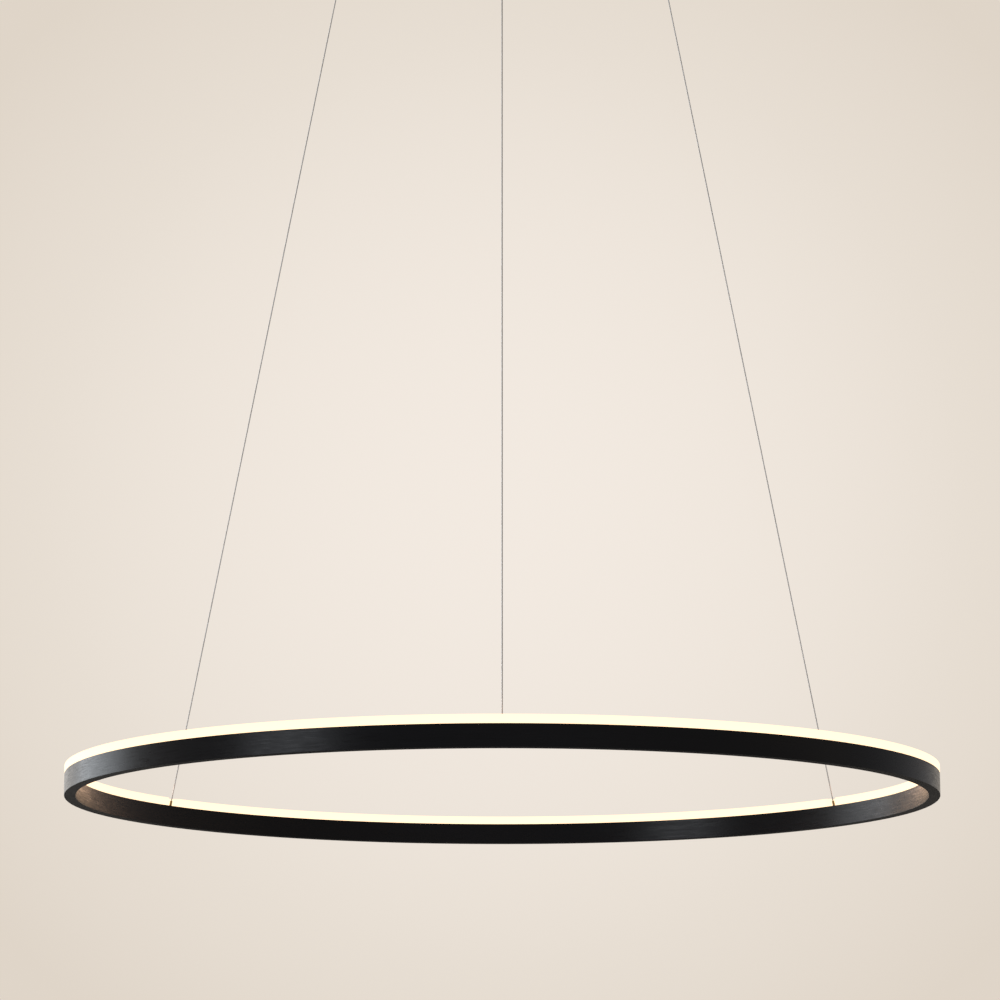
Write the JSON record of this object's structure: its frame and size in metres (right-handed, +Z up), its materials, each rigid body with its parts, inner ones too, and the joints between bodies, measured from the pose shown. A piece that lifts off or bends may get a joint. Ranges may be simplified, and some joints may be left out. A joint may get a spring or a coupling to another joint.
{
  "type": "ring pendant light",
  "caption": "Slim black metal ring lit upwards through an opal bar, hung on thin steel cables that lean inwards to a round ceiling canopy with grippers, driver and mounting plate.",
  "frame": {"origin": "centre of the ceiling plate's top face, where the light meets the ceiling", "axes": "+Z up; -Y towards the viewer and the near cable; +X to the viewer's right"},
  "size_m": [0.8, 0.8, 1.0403],
  "materials": {
    "black_aluminium": "fine brushed black anodised",
    "opal_acrylic": "opal satin, lit from inside",
    "strip_board": "white solder mask",
    "emitter": "phosphor under clear resin",
    "steel_cable": "fine stranded wire",
    "brass_part": "turned brass, browned with age",
    "nickel_part": "satin nickel on turned brass",
    "screw_steel": "zinc plated",
    "spring_steel": "drawn wire",
    "canopy_paint": "satin black powder coat",
    "plate_steel": "galvanised sheet",
    "black_nylon": "moulded nylon",
    "white_nylon": "moulded nylon",
    "driver_plastic": "moulded polycarbonate",
    "green_board": "solder mask",
    "component": "moulded and wound parts",
    "brown_lead": "PVC insulation",
    "blue_lead": "PVC insulation",
    "earth_lead": "PVC insulation",
    "red_lead": "PVC insulation",
    "black_lead": "PVC insulation"
  },
  "bodies": {
    "canopy": {"ceiling_plate": "plate_steel", "entry_grommet": "black_nylon", "cord_saddle": "white_nylon", "canopy_shell": "canopy_paint", "thumb_screws": "canopy_paint", "seat_nuts": "white_nylon", "terminal_block": "white_nylon", "terminal_screws": "screw_steel", "earth_screw": "screw_steel", "driver_case": "driver_plastic", "driver_lid": "driver_plastic", "driver_board": "green_board", "driver_components": "component", "plate_screws": "screw_steel", "live_lead": "brown_lead", "neutral_lead": "blue_lead", "earth_lead": "earth_lead", "positive_lead": "red_lead", "negative_lead": "black_lead", "near_swivel_seat": "nickel_part", "left_swivel_seat": "nickel_part", "right_swivel_seat": "nickel_part", "near_seat_bush": "black_nylon", "left_seat_bush": "black_nylon", "right_seat_bush": "black_nylon"},
    "ring": {"ring_channel": "black_aluminium", "opal_diffuser": "opal_acrylic", "light_strip": "strip_board", "light_chips": "emitter", "block_screws": "screw_steel", "ring_negative_lead": "black_lead", "ring_positive_lead": "red_lead", "near_socket_block": "white_nylon", "left_socket_block": "white_nylon", "right_socket_block": "white_nylon", "near_cable_socket": "brass_part", "left_cable_socket": "brass_part", "right_cable_socket": "brass_part"},
    "near_hanger": {"near_gripper_barrel": "nickel_part", "near_gripper_cap": "nickel_part", "near_gripper_spring": "spring_steel", "near_cable": "steel_cable", "near_cable_terminal": "brass_part"},
    "near_release": {"near_release_nozzle": "nickel_part", "near_jaw_balls": "screw_steel"},
    "left_hanger": {"left_gripper_barrel": "nickel_part", "left_gripper_cap": "nickel_part", "left_gripper_spring": "spring_steel", "left_cable": "steel_cable", "left_cable_terminal": "brass_part"},
    "left_release": {"left_release_nozzle": "nickel_part", "left_jaw_balls": "screw_steel"},
    "right_hanger": {"right_gripper_barrel": "nickel_part", "right_gripper_cap": "nickel_part", "right_gripper_spring": "spring_steel", "right_cable": "steel_cable", "right_cable_terminal": "brass_part"},
    "right_release": {"right_release_nozzle": "nickel_part", "right_jaw_balls": "screw_steel"}
  },
  "joints": [
    {"name": "pendant_swing", "type": "hinge", "parent": "canopy", "child": "ring", "pos_m": [0, 0, 0.57517], "axis": [0, 1, 0], "range_deg": [-1.5, 1.5]},
    {"name": "near_cable_swing", "type": "hinge", "parent": "canopy", "child": "near_hanger", "pos_m": [0, -0.15, -0.0328], "axis": [0, 1, 0], "range_deg": [-2.42, 2.42]},
    {"name": "left_cable_swing", "type": "hinge", "parent": "canopy", "child": "left_hanger", "pos_m": [-0.12362, 0.08496, -0.0328], "axis": [0, 1, 0], "range_deg": [-2.42, 2.42]},
    {"name": "right_cable_swing", "type": "hinge", "parent": "canopy", "child": "right_hanger", "pos_m": [0.12362, 0.08496, -0.0328], "axis": [0, 1, 0], "range_deg": [-2.42, 2.42]},
    {"name": "near_gripper_release", "type": "slide", "parent": "near_hanger", "child": "near_release", "axis": [0, 0.2395, 0.9709], "range_m": [0, 0.002], "stiffness_N_per_m": 200, "springref_m": -0.003, "deforming": ["near_gripper_spring"]},
    {"name": "left_gripper_release", "type": "slide", "parent": "left_hanger", "child": "left_release", "axis": [0.1974, -0.1357, 0.9709], "range_m": [0, 0.002], "stiffness_N_per_m": 200, "springref_m": -0.003, "deforming": ["left_gripper_spring"]},
    {"name": "right_gripper_release", "type": "slide", "parent": "right_hanger", "child": "right_release", "axis": [-0.1974, -0.1357, 0.9709], "range_m": [0, 0.002], "stiffness_N_per_m": 200, "springref_m": -0.003, "deforming": ["right_gripper_spring"]}
  ],
  "couplings": [
    {"joint": "near_cable_swing", "follows": "pendant_swing", "ratio": 1.6129},
    {"joint": "left_cable_swing", "follows": "pendant_swing", "ratio": 1.6129},
    {"joint": "right_cable_swing", "follows": "pendant_swing", "ratio": 1.6129}
  ]
}
